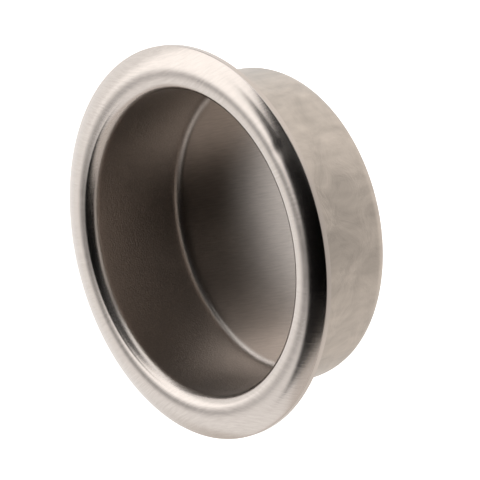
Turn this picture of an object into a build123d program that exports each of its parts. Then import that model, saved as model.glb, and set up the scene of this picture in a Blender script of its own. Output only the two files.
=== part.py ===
from build123d import *
import os
from math import asin, cos, pi, sin

# Recessed pull handle: a round finger cup drawn from one disc of sheet steel,
# its mouth rolled over into a domed flange that covers the edge of a bored hole.
# Row frame: the door face is the plane Y = 0, the room is towards -Y, +Z is up,
# and the origin is the centre of the hole in the door face.

# ---- Driving sizes, mm ----
sheet = 0.8             # steel thickness, the same all over the drawn cup
mouth_diameter = 42.0   # clear opening for the fingers
cup_depth = 15.0        # door face to the back of the cup
floor_corner = 1.1      # inside radius between cup wall and cup floor
lip_radius = 1.6        # show-side bend where the wall turns over into the flange
crest_run = 2.44        # from the cup wall out to the top of the dome
rim_run = 3.56          # from the top of the dome out to the cut rim
dome_height = 1.8       # top of the dome above the door face
seat_width = 0.32       # flat land of the rim that sits on the door
edge_break = 0.15       # tumbled round on the show-side corner of the cut rim

# ---- Radii from the axis ----
wall_inside = mouth_diameter / 2
wall_outside = wall_inside + sheet
floor_edge = wall_inside - floor_corner
lip_centre_radius = wall_inside + lip_radius
crest_radius = wall_inside + crest_run
rim_radius = crest_radius + rim_run
seat_radius = rim_radius - seat_width

# ---- Heights above the door face, towards the room ----
back_height = -cup_depth
floor_height = back_height + sheet
wall_foot_height = floor_height + floor_corner

# The dome is one arc with its top at the crest. Its radius is the one that brings
# the underside, a sheet thickness below, down to the door at the inner edge of the seat.
seat_run = seat_radius - crest_radius
dome_radius = (seat_run**2 + dome_height**2 - sheet**2) / (2 * (dome_height - sheet))
dome_centre = (crest_radius, dome_height - dome_radius)
rim_angle = asin(rim_run / dome_radius)
seat_angle = asin(seat_run / (dome_radius - sheet))

# The lip arc runs tangent from the wall into the dome, so its centre lies
# one difference of the two radii away from the centre of the dome.
centre_distance = dome_radius - lip_radius
lip_angle = -asin((crest_radius - lip_centre_radius) / centre_distance)
lip_centre = (lip_centre_radius, dome_centre[1] + centre_distance * cos(lip_angle))
lip_height = lip_centre[1]


def on_arc(centre, radius, angle):
    """Point of an arc; the angle leans from the room side towards the rim."""
    return (centre[0] + radius * sin(angle), centre[1] + radius * cos(angle))


def arc(centre, radius, start, end):
    """Arc of the section between two lean angles about a centre."""
    middle = (start + end) / 2
    return ThreePointArc(
        on_arc(centre, radius, start),
        on_arc(centre, radius, middle),
        on_arc(centre, radius, end),
    )


def sheet_section():
    """Half section of the drawn sheet: distance from the axis, height over the door."""
    corner_centre = (floor_edge, wall_foot_height)
    with BuildSketch() as section:
        with BuildLine():
            # Show side, from the middle of the cup floor out to the cut rim
            Line((0, floor_height), (floor_edge, floor_height))
            arc(corner_centre, floor_corner, pi, pi / 2)
            Line((wall_inside, wall_foot_height), (wall_inside, lip_height))
            arc(lip_centre, lip_radius, -pi / 2, lip_angle)
            arc(dome_centre, dome_radius, lip_angle, rim_angle)
            rim_corner = on_arc(dome_centre, dome_radius, rim_angle)
            Line(rim_corner, (rim_radius, 0))
            # Hidden side, from the seat back to the middle of the cup
            Line((rim_radius, 0), (seat_radius, 0))
            arc(dome_centre, dome_radius - sheet, seat_angle, lip_angle)
            arc(lip_centre, lip_radius - sheet, lip_angle, -pi / 2)
            Line((wall_outside, lip_height), (wall_outside, wall_foot_height))
            arc(corner_centre, floor_corner + sheet, pi / 2, pi)
            Line((floor_edge, back_height), (0, back_height))
            Line((0, back_height), (0, floor_height))
        make_face()
        corner = section.vertices().sort_by_distance(rim_corner)[0]
        fillet(corner, edge_break)
    return section.sketch


def pull_cup():
    """The drawn cup: the section, laid with its height towards the room, spun about Y."""
    section_plane = Plane(origin=(0, 0, 0), x_dir=(1, 0, 0), z_dir=(0, 0, -1))
    return revolve(section_plane * sheet_section(), axis=Axis.Y, revolution_arc=360)


os.makedirs("parts", exist_ok=True)
export_step(pull_cup(), "parts/pull_cup.step")
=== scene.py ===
from math import asin, cos, exp, hypot, pi, radians, sin, sqrt

import bmesh
import bpy
from bpy.props import FloatProperty, IntProperty, PointerProperty, StringProperty
from mathutils import Matrix, Vector, noise


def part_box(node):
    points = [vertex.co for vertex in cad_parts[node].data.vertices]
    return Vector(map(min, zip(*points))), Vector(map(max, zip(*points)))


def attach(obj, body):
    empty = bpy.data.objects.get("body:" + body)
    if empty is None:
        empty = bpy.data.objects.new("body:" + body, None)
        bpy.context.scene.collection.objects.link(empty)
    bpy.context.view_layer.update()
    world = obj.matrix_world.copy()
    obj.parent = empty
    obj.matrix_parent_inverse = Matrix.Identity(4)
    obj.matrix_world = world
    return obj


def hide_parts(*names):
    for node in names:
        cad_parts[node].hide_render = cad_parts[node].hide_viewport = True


bl_info = {
    "name": "Recessed pull handle",
    "version": (1, 0, 0),
    "blender": (4, 5, 0),
    "location": "3D View > Sidebar > Pull Handle",
    "description": "Builds a satin nickel cup pull and a plain studio around it",
    "category": "Object",
}

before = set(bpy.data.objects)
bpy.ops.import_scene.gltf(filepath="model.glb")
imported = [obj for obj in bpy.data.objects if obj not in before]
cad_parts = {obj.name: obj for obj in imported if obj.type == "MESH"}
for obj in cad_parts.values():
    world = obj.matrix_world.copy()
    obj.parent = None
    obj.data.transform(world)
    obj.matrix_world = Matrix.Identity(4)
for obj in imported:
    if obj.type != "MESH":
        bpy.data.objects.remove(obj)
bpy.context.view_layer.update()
CUP_LOW, CUP_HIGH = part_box("pull_cup")
MM = 0.001


# ---------------------------------------------------------------- settings


class PullSizes(bpy.types.PropertyGroup):
    """Sizes of the drawn cup; the outside ones come from the frame."""

    rim_radius: FloatProperty(
        name="Rim radius", description="Axis to the cut rim of the flange",
        default=min(CUP_HIGH.x, CUP_HIGH.z, -CUP_LOW.x, -CUP_LOW.z),
        subtype="DISTANCE", unit="LENGTH")
    cup_depth: FloatProperty(
        name="Cup depth", description="Door face to the back of the cup",
        default=CUP_HIGH.y, subtype="DISTANCE", unit="LENGTH")
    dome_height: FloatProperty(
        name="Dome height", description="Top of the domed flange above the door face",
        default=-CUP_LOW.y, subtype="DISTANCE", unit="LENGTH")
    sheet: FloatProperty(
        name="Sheet", description="Thickness of the drawn sheet",
        default=0.8 * MM, subtype="DISTANCE", unit="LENGTH")
    crest_run: FloatProperty(
        name="Crest run", description="Cup wall out to the top of the dome",
        default=2.44 * MM, subtype="DISTANCE", unit="LENGTH")
    rim_run: FloatProperty(
        name="Rim run", description="Top of the dome out to the cut rim",
        default=3.56 * MM, subtype="DISTANCE", unit="LENGTH")
    lip_radius: FloatProperty(
        name="Lip radius", description="Bend from the cup wall over into the flange",
        default=1.6 * MM, subtype="DISTANCE", unit="LENGTH")
    floor_corner: FloatProperty(
        name="Floor corner", description="Inside radius between cup wall and cup floor",
        default=1.1 * MM, subtype="DISTANCE", unit="LENGTH")
    seat_width: FloatProperty(
        name="Seat width", description="Flat land of the rim that sits on the door",
        default=0.32 * MM, subtype="DISTANCE", unit="LENGTH")
    edge_break: FloatProperty(
        name="Edge break", description="Tumbled round on the corner of the cut rim",
        default=0.15 * MM, subtype="DISTANCE", unit="LENGTH")
    wall_waver: FloatProperty(
        name="Wall waver", description="Middling depth of the press marks on the outside wall",
        default=0.05 * MM, subtype="DISTANCE", unit="LENGTH")
    dent_depth: FloatProperty(
        name="Dent depth", description="Depth of the small dent in the flange",
        default=0.05 * MM, subtype="DISTANCE", unit="LENGTH")
    dent_width: FloatProperty(
        name="Dent width", description="Middle of the dent out to where it fades",
        default=1.1 * MM, subtype="DISTANCE", unit="LENGTH")
    dent_radius: FloatProperty(
        name="Dent radius", description="Axis out to the middle of the dent",
        default=25.3 * MM, subtype="DISTANCE", unit="LENGTH")
    dent_angle: FloatProperty(
        name="Dent angle", description="Dent round from the right of the pull, upwards",
        default=radians(43), subtype="ANGLE", unit="ROTATION")
    brush_lean: FloatProperty(
        name="Brush lean", description="Lean of the brush lines over the level",
        default=radians(18), subtype="ANGLE", unit="ROTATION")
    turns: IntProperty(
        name="Turns", description="Faces around the cup", default=288, min=48)


class PullFinish(bpy.types.PropertyGroup):
    """The satin nickel finish: plate colours and how rough each side came out."""

    nickel: StringProperty(
        name="Nickel", description="Plate colour on the show side, sRGB hex", default="#C8BFB8")
    nickel_back: StringProperty(
        name="Nickel behind", description="Plate colour on the hidden side, sRGB hex", default="#C8BFB6")
    flange_roughness: FloatProperty(
        name="Flange roughness", description="Brushed flange", default=0.18, min=0, max=1)
    floor_roughness: FloatProperty(
        name="Floor roughness", description="Brushed floor of the cup", default=0.33, min=0, max=1)
    wall_roughness: FloatProperty(
        name="Wall roughness", description="Drawn wall inside the cup", default=0.36, min=0, max=1)
    back_roughness: FloatProperty(
        name="Back roughness", description="Dull outside of the cup", default=0.45, min=0, max=1)
    brush_length: FloatProperty(
        name="Brush length", description="Length of one brush line",
        default=3.0 * MM, subtype="DISTANCE", unit="LENGTH")
    brush_gap: FloatProperty(
        name="Brush gap", description="Space from one brush line to the next",
        default=0.22 * MM, subtype="DISTANCE", unit="LENGTH")
    cloud_size: FloatProperty(
        name="Cloud size", description="Size of the slow unevenness of the plate",
        default=5.0 * MM, subtype="DISTANCE", unit="LENGTH")
    show_relief: FloatProperty(
        name="Show side relief", description="Height of the brush lines on the show side",
        default=0.014 * MM, subtype="DISTANCE", unit="LENGTH")
    back_relief: FloatProperty(
        name="Back relief", description="Height of the press marks' unevenness on the back",
        default=0.2 * MM, subtype="DISTANCE", unit="LENGTH")
    peel_grain: FloatProperty(
        name="Peel grain", description="Grain of the orange peel on the stretched wall",
        default=0.24 * MM, subtype="DISTANCE", unit="LENGTH")


class StudioSettings(bpy.types.PropertyGroup):
    """The plain studio: light level, floor and camera."""

    light: FloatProperty(
        name="Light", description="Level of the whole light tent", default=1.2, min=0)
    gloom: FloatProperty(
        name="Gloom", description="Level where no card hangs", default=0.06, min=0)
    floor_drop: FloatProperty(
        name="Floor drop", description="How far under the pull the floor lies",
        default=0.14, subtype="DISTANCE", unit="LENGTH")
    floor_white: StringProperty(
        name="Floor", description="Colour of the floor, sRGB hex", default="#F4F3F1")
    camera_side: FloatProperty(
        name="Camera side", description="Camera angle round from the front of the pull",
        default=radians(49.35), subtype="ANGLE", unit="ROTATION")
    camera_rise: FloatProperty(
        name="Camera rise", description="Camera angle up from the level",
        default=radians(16.86), subtype="ANGLE", unit="ROTATION")
    camera_distance: FloatProperty(
        name="Camera distance", description="Camera to the pull",
        default=0.4718, subtype="DISTANCE", unit="LENGTH")
    camera_right: FloatProperty(
        name="Camera right", description="Camera aim to the right of the pull",
        default=5.776 * MM, subtype="DISTANCE", unit="LENGTH")
    camera_up: FloatProperty(
        name="Camera up", description="Camera aim above the pull",
        default=0.357 * MM, subtype="DISTANCE", unit="LENGTH")
    camera_lens: FloatProperty(
        name="Lens", description="Focal length on a 36 mm sensor, in millimetres", default=262.5)


# ---------------------------------------------------------------- section and mesh


def section(sizes):
    """Half section of the sheet: a closed list of (radius, height over the door, side, drawn).

    Side is the finish a point belongs to. Drawn runs from 0 on the flat sheet
    to 1 on the stretched wall.
    """
    crest = sizes.rim_radius - sizes.rim_run
    wall = crest - sizes.crest_run
    outer_wall = wall + sizes.sheet
    floor = sizes.sheet - sizes.cup_depth
    floor_edge = wall - sizes.floor_corner
    corner = (floor_edge, floor + sizes.floor_corner)

    seat = sizes.rim_radius - sizes.seat_width
    seat_run = seat - crest
    rise = sizes.dome_height
    dome_radius = (seat_run**2 + rise**2 - sizes.sheet**2) / (2 * (rise - sizes.sheet))
    dome = (crest, rise - dome_radius)
    seat_angle = asin(seat_run / (dome_radius - sizes.sheet))

    reach = dome_radius - sizes.lip_radius
    lip_angle = -asin((sizes.crest_run - sizes.lip_radius) / reach)
    lip = (wall + sizes.lip_radius, dome[1] + reach * cos(lip_angle))

    broken = sizes.edge_break
    edge_reach = dome_radius - broken
    edge_angle = asin((sizes.rim_run - broken) / edge_reach)
    edge = (sizes.rim_radius - broken, dome[1] + edge_reach * cos(edge_angle))

    points = []

    def run(start, end, steps, side, drawn=(0, 0)):
        for i in range(steps):
            t = i / steps
            points.append((
                start[0] + (end[0] - start[0]) * t, start[1] + (end[1] - start[1]) * t,
                side, drawn[0] + (drawn[1] - drawn[0]) * t))

    def bend(centre, radius, start, end, steps, side, drawn=(0, 0)):
        for i in range(steps):
            t = i / steps
            lean = start + (end - start) * t
            points.append((
                centre[0] + radius * sin(lean), centre[1] + radius * cos(lean),
                side, drawn[0] + (drawn[1] - drawn[0]) * t))

    run((0, floor), (floor_edge, floor), 24, "cup")
    bend(corner, sizes.floor_corner, pi, pi / 2, 12, "cup", (0.7, 1))
    run((wall, corner[1]), (wall, lip[1]), 24, "cup", (1, 1))
    bend(lip, sizes.lip_radius, -pi / 2, lip_angle, 20, "flange", (1, 0))
    bend(dome, dome_radius, lip_angle, edge_angle, 24, "flange")
    bend(edge, broken, edge_angle, pi / 2, 5, "rim")
    run((sizes.rim_radius, edge[1]), (sizes.rim_radius, 0), 3, "rim")
    run((sizes.rim_radius, 0), (seat, 0), 1, "rim")
    bend(dome, dome_radius - sizes.sheet, seat_angle, lip_angle, 16, "back")
    bend(lip, sizes.lip_radius - sizes.sheet, lip_angle, -pi / 2, 12, "back")
    run((outer_wall, lip[1]), (outer_wall, corner[1]), 24, "back")
    bend(corner, sizes.floor_corner + sizes.sheet, pi / 2, pi, 14, "back")
    run((floor_edge, -sizes.cup_depth), (0, -sizes.cup_depth), 16, "back")
    points.append((0, -sizes.cup_depth, "back", 0))
    return points


def blank_radii(points):
    """Radius that each point of the section had on the flat blank, from equal area."""
    radii = []
    area = 0
    for k, (radius, height, _, _) in enumerate(points):
        if k:
            before = points[k - 1]
            area += (radius + before[0]) * hypot(radius - before[0], height - before[1])
        radii.append(sqrt(area))
    return radii


def press_marks(place, side, sizes):
    """How far a point is pushed in: the outside wall wavers, and the flange has one small dent."""
    outer_wall = sizes.rim_radius - sizes.rim_run - sizes.crest_run + sizes.sheet
    on_wall = hypot(place.x, place.z) > outer_wall - 0.2 * MM and place.y > 0
    if side == "back" and on_wall:
        # The waver fades out over 2 mm at the flange and over 0.5 mm at the back edge.
        fade = min(1, place.y / (2 * MM), (sizes.cup_depth - place.y) / (0.5 * MM))
        waver = 0.6 + noise.noise(place / (6 * MM)) + 0.5 * noise.noise(place / (2.5 * MM))
        depth = sizes.wall_waver * max(0, waver) * max(0, fade)
        return Vector((-place.x, 0, -place.z)).normalized() * depth
    if side == "flange" and place.y < 0:
        across, up = cos(sizes.dent_angle), sin(sizes.dent_angle)
        dent = Vector((sizes.dent_radius * across, place.y, sizes.dent_radius * up))
        away = (place - dent).length / sizes.dent_width
        return Vector((0, sizes.dent_depth * exp(-away * away), 0))
    return Vector((0, 0, 0))


SIDES = ("cup", "flange", "rim", "back")


def drawn_cup(sizes):
    """The section spun about Y into one closed mesh, with the blank as its UV map."""
    points = section(sizes)
    blank = blank_radii(points)
    turns = sizes.turns
    mesh = bpy.data.meshes.new("drawn_cup")
    made = bmesh.new()
    uv = made.loops.layers.uv.new("blank")
    drawn = made.verts.layers.float.new("drawn")
    angles = [2 * pi * i / turns for i in range(turns)]
    rings = []
    for radius, height, side, stretch in points:
        if radius == 0:
            pole = made.verts.new((0, -height, 0))
            rings.append([pole] * turns)
            continue
        ring = []
        for around in angles:
            place = Vector((radius * cos(around), -height, radius * sin(around)))
            vert = made.verts.new(place + press_marks(place, side, sizes))
            vert[drawn] = stretch
            ring.append(vert)
        rings.append(ring)
    for k in range(len(rings) - 1):
        side = SIDES.index(points[k][2])
        for i in range(turns):
            j = (i + 1) % turns
            corners = ((k, i), (k, j), (k + 1, j), (k + 1, i))
            verts, places = [], []
            for ring, turn in corners:
                vert = rings[ring][turn]
                if vert not in verts:
                    verts.append(vert)
                    around = angles[i] + pi / turns if blank[ring] == 0 else angles[turn]
                    around -= sizes.brush_lean
                    places.append((blank[ring] * cos(around) / MM, blank[ring] * sin(around) / MM))
            face = made.faces.new(verts)
            face.smooth = True
            face.material_index = side
            for loop, place in zip(face.loops, places):
                loop[uv].uv = place
    bmesh.ops.recalc_face_normals(made, faces=made.faces)
    made.to_mesh(mesh)
    made.free()
    mesh.set_sharp_from_angle(angle=radians(35))
    return mesh


# ---------------------------------------------------------------- materials


def linear(hex_colour):
    """sRGB hex to a linear colour."""
    channels = []
    for start in (1, 3, 5):
        value = int(hex_colour[start:start + 2], 16) / 255
        channels.append(value / 12.92 if value <= 0.04045 else ((value + 0.055) / 1.055) ** 2.4)
    return (*channels, 1.0)


def node(tree, kind, inputs=(), **settings):
    """Adds a node; an input is a value, or a socket to link from."""
    made = tree.nodes.new(kind)
    for name, value in settings.items():
        setattr(made, name, value)
    for key, value in dict(inputs).items():
        if isinstance(value, bpy.types.NodeSocket):
            tree.links.new(value, made.inputs[key])
        else:
            made.inputs[key].default_value = value
    return made


def new_material(name):
    """An empty node tree with its output."""
    material = bpy.data.materials.new(name)
    material.use_nodes = True
    tree = material.node_tree
    tree.nodes.clear()
    return material, tree, tree.nodes.new("ShaderNodeOutputMaterial")


def satin_nickel_brushed(name, finish, roughness, depth):
    """Satin nickel plate over steel that was brushed flat and then drawn.

    The brush lines smear a reflection across themselves, so the flange and the
    floor glow in soft bands, and the stretched wall turns to a fine orange peel
    that scatters the light and looks darker and duller.
    """
    material, tree, output = new_material(name)
    blank = node(tree, "ShaderNodeUVMap", uv_map="blank").outputs["UV"]
    drawn = node(tree, "ShaderNodeAttribute", attribute_name="drawn").outputs["Fac"]
    place = node(tree, "ShaderNodeTexCoord").outputs["Object"]

    # Real grit lines are 0.05 mm apart, too fine to show; these are drawn 0.22 mm apart.
    lines_at = node(tree, "ShaderNodeMapping", {
        "Vector": blank,
        "Scale": (MM / finish.brush_length, MM / finish.brush_gap, 1)}).outputs[0]
    lines = node(tree, "ShaderNodeTexNoise", {
        "Vector": lines_at, "Scale": 1.0, "Detail": 3.0, "Roughness": 0.6}).outputs["Fac"]
    # Grain that the stretched steel shows, one bump to each 0.24 mm.
    peel = node(tree, "ShaderNodeTexNoise", {
        "Vector": place, "Scale": 1 / finish.peel_grain, "Detail": 2.0}).outputs["Fac"]
    # Slow unevenness of the plate, a few millimetres across.
    cloud = node(tree, "ShaderNodeTexNoise", {
        "Vector": place, "Scale": 1 / finish.cloud_size, "Detail": 3.0}).outputs["Fac"]

    relief = node(tree, "ShaderNodeMix", {"Factor": drawn, "A": lines, "B": peel}).outputs[0]
    rise = node(tree, "ShaderNodeMapRange", {
        "Value": drawn, "To Min": depth, "To Max": 2.5}).outputs[0]
    height = node(tree, "ShaderNodeMath", {0: relief, 1: rise}, operation="MULTIPLY").outputs[0]
    bump = node(tree, "ShaderNodeBump", {
        "Height": height, "Strength": 1.0, "Distance": finish.show_relief}).outputs["Normal"]
    base_rough = node(tree, "ShaderNodeMix", {
        "Factor": drawn, "A": roughness, "B": finish.wall_roughness}).outputs[0]
    line_rough = node(tree, "ShaderNodeMath", {0: lines, 1: 0.5}, operation="SUBTRACT").outputs[0]
    cloud_rough = node(tree, "ShaderNodeMath", {0: cloud, 1: 0.5}, operation="SUBTRACT").outputs[0]
    rough = node(tree, "ShaderNodeMath", {
        0: line_rough, 1: 0.08, 2: base_rough}, operation="MULTIPLY_ADD").outputs[0]
    rough = node(tree, "ShaderNodeMath", {
        0: cloud_rough, 1: 0.06, 2: rough}, operation="MULTIPLY_ADD").outputs[0]
    mark = node(tree, "ShaderNodeMapRange", {
        "Value": relief, "From Min": 0.3, "From Max": 0.7,
        "To Min": 1 - 0.13 * depth, "To Max": 1 + 0.1 * depth}).outputs[0]
    colour = node(tree, "ShaderNodeVectorMath", {
        0: linear(finish.nickel)[:3], "Scale": mark}, operation="SCALE").outputs[0]
    across = node(tree, "ShaderNodeTangent", direction_type="UV_MAP", uv_map="blank").outputs[0]
    shader = node(tree, "ShaderNodeBsdfPrincipled", {
        "Base Color": colour, "Metallic": 1.0, "Roughness": rough,
        "Anisotropic": 0.5, "Anisotropic Rotation": 0.25,
        "Tangent": across, "Normal": bump}).outputs[0]
    tree.links.new(shader, output.inputs["Surface"])
    return material


def satin_nickel_sheared(finish):
    """Satin nickel plate over the sheared edge of the sheet.

    It takes no brush lines, so the rim shows as a plain, slightly duller thread
    round the flange.
    """
    material, tree, output = new_material("satin_nickel_sheared")
    place = node(tree, "ShaderNodeTexCoord").outputs["Object"]
    tear = node(tree, "ShaderNodeTexNoise", {
        "Vector": place, "Scale": 1 / (0.4 * MM), "Detail": 3.0}).outputs["Fac"]
    bump = node(tree, "ShaderNodeBump", {
        "Height": tear, "Strength": 1.0, "Distance": 0.006 * MM}).outputs["Normal"]
    shader = node(tree, "ShaderNodeBsdfPrincipled", {
        "Base Color": linear(finish.nickel), "Metallic": 1.0, "Roughness": 0.32,
        "Normal": bump}).outputs[0]
    tree.links.new(shader, output.inputs["Surface"])
    return material


def satin_nickel_pressed(finish):
    """Satin nickel plate over the steel as it left the press, never brushed.

    It looks dull and cloudy, with no clear reflection, and faint draw marks run
    along the wall.
    """
    material, tree, output = new_material("satin_nickel_pressed")
    place = node(tree, "ShaderNodeTexCoord").outputs["Object"]
    cloud = node(tree, "ShaderNodeTexNoise", {
        "Vector": place, "Scale": 1 / finish.cloud_size,
        "Detail": 5.0, "Roughness": 0.62, "Distortion": 0.8}).outputs["Fac"]
    streak_at = node(tree, "ShaderNodeMapping", {
        "Vector": place, "Scale": (1 / (1.6 * MM), 1 / (9 * MM), 1 / (1.6 * MM))}).outputs[0]
    streak = node(tree, "ShaderNodeTexNoise", {
        "Vector": streak_at, "Scale": 1.0, "Detail": 2.0}).outputs["Fac"]
    both = node(tree, "ShaderNodeMix", {"Factor": 0.3, "A": cloud, "B": streak}).outputs[0]
    rough = node(tree, "ShaderNodeMapRange", {
        "Value": both, "From Min": 0.3, "From Max": 0.7,
        "To Min": finish.back_roughness - 0.06, "To Max": finish.back_roughness + 0.06}).outputs[0]
    shade = node(tree, "ShaderNodeMapRange", {
        "Value": both, "From Min": 0.3, "From Max": 0.7, "To Min": 0.72, "To Max": 1.16}).outputs[0]
    colour = node(tree, "ShaderNodeVectorMath", {
        0: linear(finish.nickel_back)[:3], "Scale": shade}, operation="SCALE").outputs[0]
    bump = node(tree, "ShaderNodeBump", {
        "Height": both, "Strength": 1.0, "Distance": finish.back_relief}).outputs["Normal"]
    shader = node(tree, "ShaderNodeBsdfPrincipled", {
        "Base Color": colour, "Metallic": 1.0, "Roughness": rough, "Normal": bump}).outputs[0]
    tree.links.new(shader, output.inputs["Surface"])
    return material


# ---------------------------------------------------------------- studio

# Cards and cloths of the light tent, listed in plain steps: name, side angle round
# from the front of the pull towards its right, rise, half width, half height and soft edge
# in degrees, level and colour. Each lies over the ones before it.
TENT = (
    # Soft light from above, below and all round.
    ("top scrim", 0, 90, 180, 30, 20, 1.2, "#FFFFFF"),
    ("table", 0, -90, 180, 60, 20, 0.7, "#FFFAF5"),
    ("back cloth", 180, 10, 60, 60, 30, 0.9, "#FFFAF5"),
    ("right cloth", 100, 0, 40, 40, 20, 0.5, "#FFFAF5"),
    ("left cloth", -100, 0, 50, 40, 20, 1.0, "#FFFFFF"),
    # The lamp that brightens the flange, and the low card that lifts its lower half.
    ("front lamp box", -40, 30, 20, 40, 10, 1.5, "#FFFFFF"),
    ("low front card", -40, -40, 20, 20, 10, 1.0, "#FFFFFF"),
    # The black flag beside the camera draws a dark band along the flange and the lip.
    ("black flag", 20, -10, 50, 25, 5, 0.0, "#FFFFFF"),
)


def light_tent(settings):
    """A world with soft-edged cards round the pull; the camera itself sees plain white."""
    world = bpy.data.worlds.new("light_tent")
    world.use_nodes = True
    tree = world.node_tree
    tree.nodes.clear()
    ray = node(tree, "ShaderNodeTexCoord").outputs["Generated"]
    parts = node(tree, "ShaderNodeSeparateXYZ", {"Vector": ray}).outputs
    front = node(tree, "ShaderNodeMath", {0: parts["Y"], 1: -1.0}, operation="MULTIPLY").outputs[0]
    side = node(tree, "ShaderNodeMath", {0: parts["X"], 1: front}, operation="ARCTAN2").outputs[0]
    rise = node(tree, "ShaderNodeMath", {0: parts["Z"]}, operation="ARCSINE").outputs[0]
    level = (settings.gloom, settings.gloom, settings.gloom, 1)
    for _, card_side, card_rise, wide, high, soft, strength, tint in TENT:
        cover = 1.0
        for value, centre, half in ((side, card_side, wide), (rise, card_rise, high)):
            if half >= 180:
                continue  # a card all the way round has no side edges
            away = node(tree, "ShaderNodeMath", {
                0: value, 1: radians(centre)}, operation="SUBTRACT").outputs[0]
            away = node(tree, "ShaderNodeMath", {0: away, 1: pi, 2: -pi}, operation="WRAP").outputs[0]
            away = node(tree, "ShaderNodeMath", {0: away}, operation="ABSOLUTE").outputs[0]
            inside, outside = radians(half - soft / 2), radians(half + soft / 2)
            edge = node(tree, "ShaderNodeMapRange", {
                "Value": away, "From Min": inside, "From Max": outside,
                "To Min": 1.0, "To Max": 0.0}, interpolation_type="SMOOTHSTEP").outputs[0]
            cover = node(tree, "ShaderNodeMath", {0: cover, 1: edge}, operation="MULTIPLY").outputs[0]
        glow = [strength * settings.light * channel for channel in linear(tint)[:3]]
        level = node(tree, "ShaderNodeMix", {
            0: cover, 6: level, 7: (*glow, 1)}, data_type="RGBA").outputs[2]
    seen = node(tree, "ShaderNodeLightPath").outputs["Is Camera Ray"]
    level = node(tree, "ShaderNodeMix", {
        0: seen, 6: level, 7: (1, 1, 1, 1)}, data_type="RGBA").outputs[2]
    background = node(tree, "ShaderNodeBackground", {"Color": level}).outputs[0]
    output = tree.nodes.new("ShaderNodeOutputWorld")
    tree.links.new(background, output.inputs["Surface"])
    bpy.context.scene.world = world


def white_floor(settings):
    """A table top of cast white acrylic, lit a little from under.

    Its matt, even face looks plain and almost without shadow. The metal mirrors
    the tent instead of it.
    """
    material, tree, output = new_material("white_acrylic_cast")
    white = linear(settings.floor_white)
    shader = node(tree, "ShaderNodeBsdfPrincipled", {
        "Base Color": white, "Roughness": 0.6,
        "Emission Color": white, "Emission Strength": 0.7}).outputs[0]
    tree.links.new(shader, output.inputs["Surface"])
    half = 2.0
    mesh = bpy.data.meshes.new("floor")
    made = bmesh.new()
    corners = [made.verts.new((x, y, -settings.floor_drop)) for x, y in (
        (-half, -half), (half, -half), (half, half), (-half, half))]
    made.faces.new(corners)
    made.to_mesh(mesh)
    made.free()
    mesh.materials.append(material)
    floor = bpy.data.objects.new("studio_floor", mesh)
    floor.visible_glossy = False
    floor.visible_diffuse = False
    bpy.context.scene.collection.objects.link(floor)


def add_camera(settings):
    """A long lens at the right of the front and a little above, level with the horizon."""
    side, rise = settings.camera_side, settings.camera_rise
    right = Vector((cos(side), sin(side), 0))
    up = Vector((-sin(side) * sin(rise), cos(side) * sin(rise), cos(rise)))
    back = Vector((sin(side) * cos(rise), -cos(side) * cos(rise), sin(rise)))
    data = bpy.data.cameras.new("camera")
    data.sensor_width = 36
    data.lens = settings.camera_lens
    camera = bpy.data.objects.new("camera", data)
    bpy.context.scene.collection.objects.link(camera)
    place = right * settings.camera_right + up * settings.camera_up + back * settings.camera_distance
    camera.matrix_world = Matrix.Translation(place) @ Matrix((right, up, back)).transposed().to_4x4()
    bpy.context.scene.camera = camera


# ---------------------------------------------------------------- operators


class PULLHANDLE_OT_cup(bpy.types.Operator):
    """Build the drawn cup with its satin nickel finish"""

    bl_idname = "pullhandle.cup"
    bl_label = "Drawn Cup"

    def execute(self, context):
        sizes, finish = context.scene.pull_sizes, context.scene.pull_finish
        mesh = drawn_cup(sizes)
        for material in (
                satin_nickel_brushed("satin_nickel_brushed_cup", finish, finish.floor_roughness, 0.8),
                satin_nickel_brushed(
                    "satin_nickel_brushed_flange", finish, finish.flange_roughness, 0.5),
                satin_nickel_sheared(finish), satin_nickel_pressed(finish)):
            mesh.materials.append(material)
        cup = bpy.data.objects.new("pull_cup_body", mesh)
        context.scene.collection.objects.link(cup)
        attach(cup, "root")
        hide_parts("pull_cup")
        return {"FINISHED"}


class PULLHANDLE_OT_studio(bpy.types.Operator):
    """Build the floor, the light tent and the camera"""

    bl_idname = "pullhandle.studio"
    bl_label = "Studio"

    def execute(self, context):
        settings = context.scene.pull_studio
        white_floor(settings)
        light_tent(settings)
        add_camera(settings)
        context.scene.view_settings.view_transform = "Standard"
        return {"FINISHED"}


class PULLHANDLE_PT_panel(bpy.types.Panel):
    """Lists the steps and the sizes of the pull"""

    bl_idname = "PULLHANDLE_PT_panel"
    bl_label = "Pull Handle"
    bl_space_type = "VIEW_3D"
    bl_region_type = "UI"
    bl_category = "Pull Handle"

    def draw(self, context):
        scene = context.scene
        for operator in (PULLHANDLE_OT_cup, PULLHANDLE_OT_studio):
            self.layout.operator(operator.bl_idname)
        for group in (scene.pull_sizes, scene.pull_finish, scene.pull_studio):
            box = self.layout.box()
            for name in group.bl_rna.properties.keys():
                if name not in ("rna_type", "name"):
                    box.prop(group, name)


CLASSES = (
    PullSizes, PullFinish, StudioSettings,
    PULLHANDLE_OT_cup, PULLHANDLE_OT_studio, PULLHANDLE_PT_panel,
)


def register():
    for cls in CLASSES:
        bpy.utils.register_class(cls)
    bpy.types.Scene.pull_sizes = PointerProperty(type=PullSizes)
    bpy.types.Scene.pull_finish = PointerProperty(type=PullFinish)
    bpy.types.Scene.pull_studio = PointerProperty(type=StudioSettings)


def unregister():
    del bpy.types.Scene.pull_studio
    del bpy.types.Scene.pull_finish
    del bpy.types.Scene.pull_sizes
    for cls in reversed(CLASSES):
        bpy.utils.unregister_class(cls)


def main():
    register()
    bpy.ops.pullhandle.cup()
    bpy.ops.pullhandle.studio()


if __name__ == "__main__":
    main()
